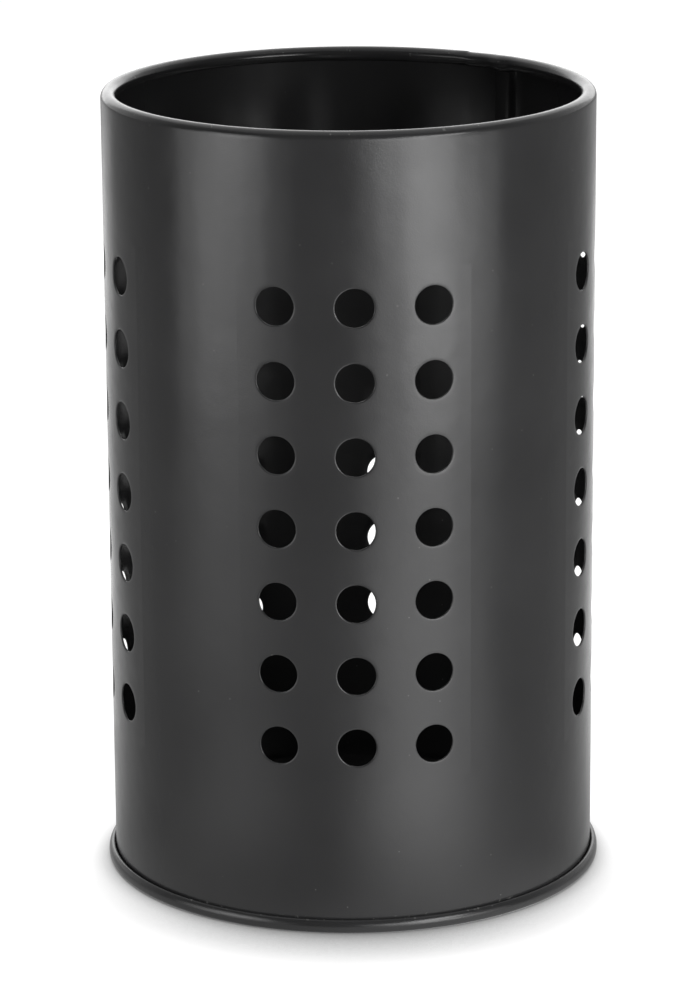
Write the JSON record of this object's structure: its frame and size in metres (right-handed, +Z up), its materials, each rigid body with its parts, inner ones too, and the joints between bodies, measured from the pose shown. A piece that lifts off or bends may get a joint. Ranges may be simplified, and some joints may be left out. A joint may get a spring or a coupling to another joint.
{
  "type": "cutlery holder",
  "caption": "Tall round cutlery holder of black powder-coated sheet steel, with groups of punched holes, an inward curled rim and a double-seamed base.",
  "frame": {"origin": "centre of the foot, on the surface that the holder stands on", "axes": "+Z up along the axis of the cylinder, -Y towards the front group of holes, +X to the right seen from the front"},
  "size_m": [0.1236, 0.1238, 0.195],
  "materials": {
    "wall_coat": "satin black powder coat on sheet steel",
    "base_coat": "satin black powder coat on sheet steel"
  },
  "bodies": {
    "root": {"perforated_wall": "wall_coat", "base_disc": "base_coat"}
  },
  "joints": []
}
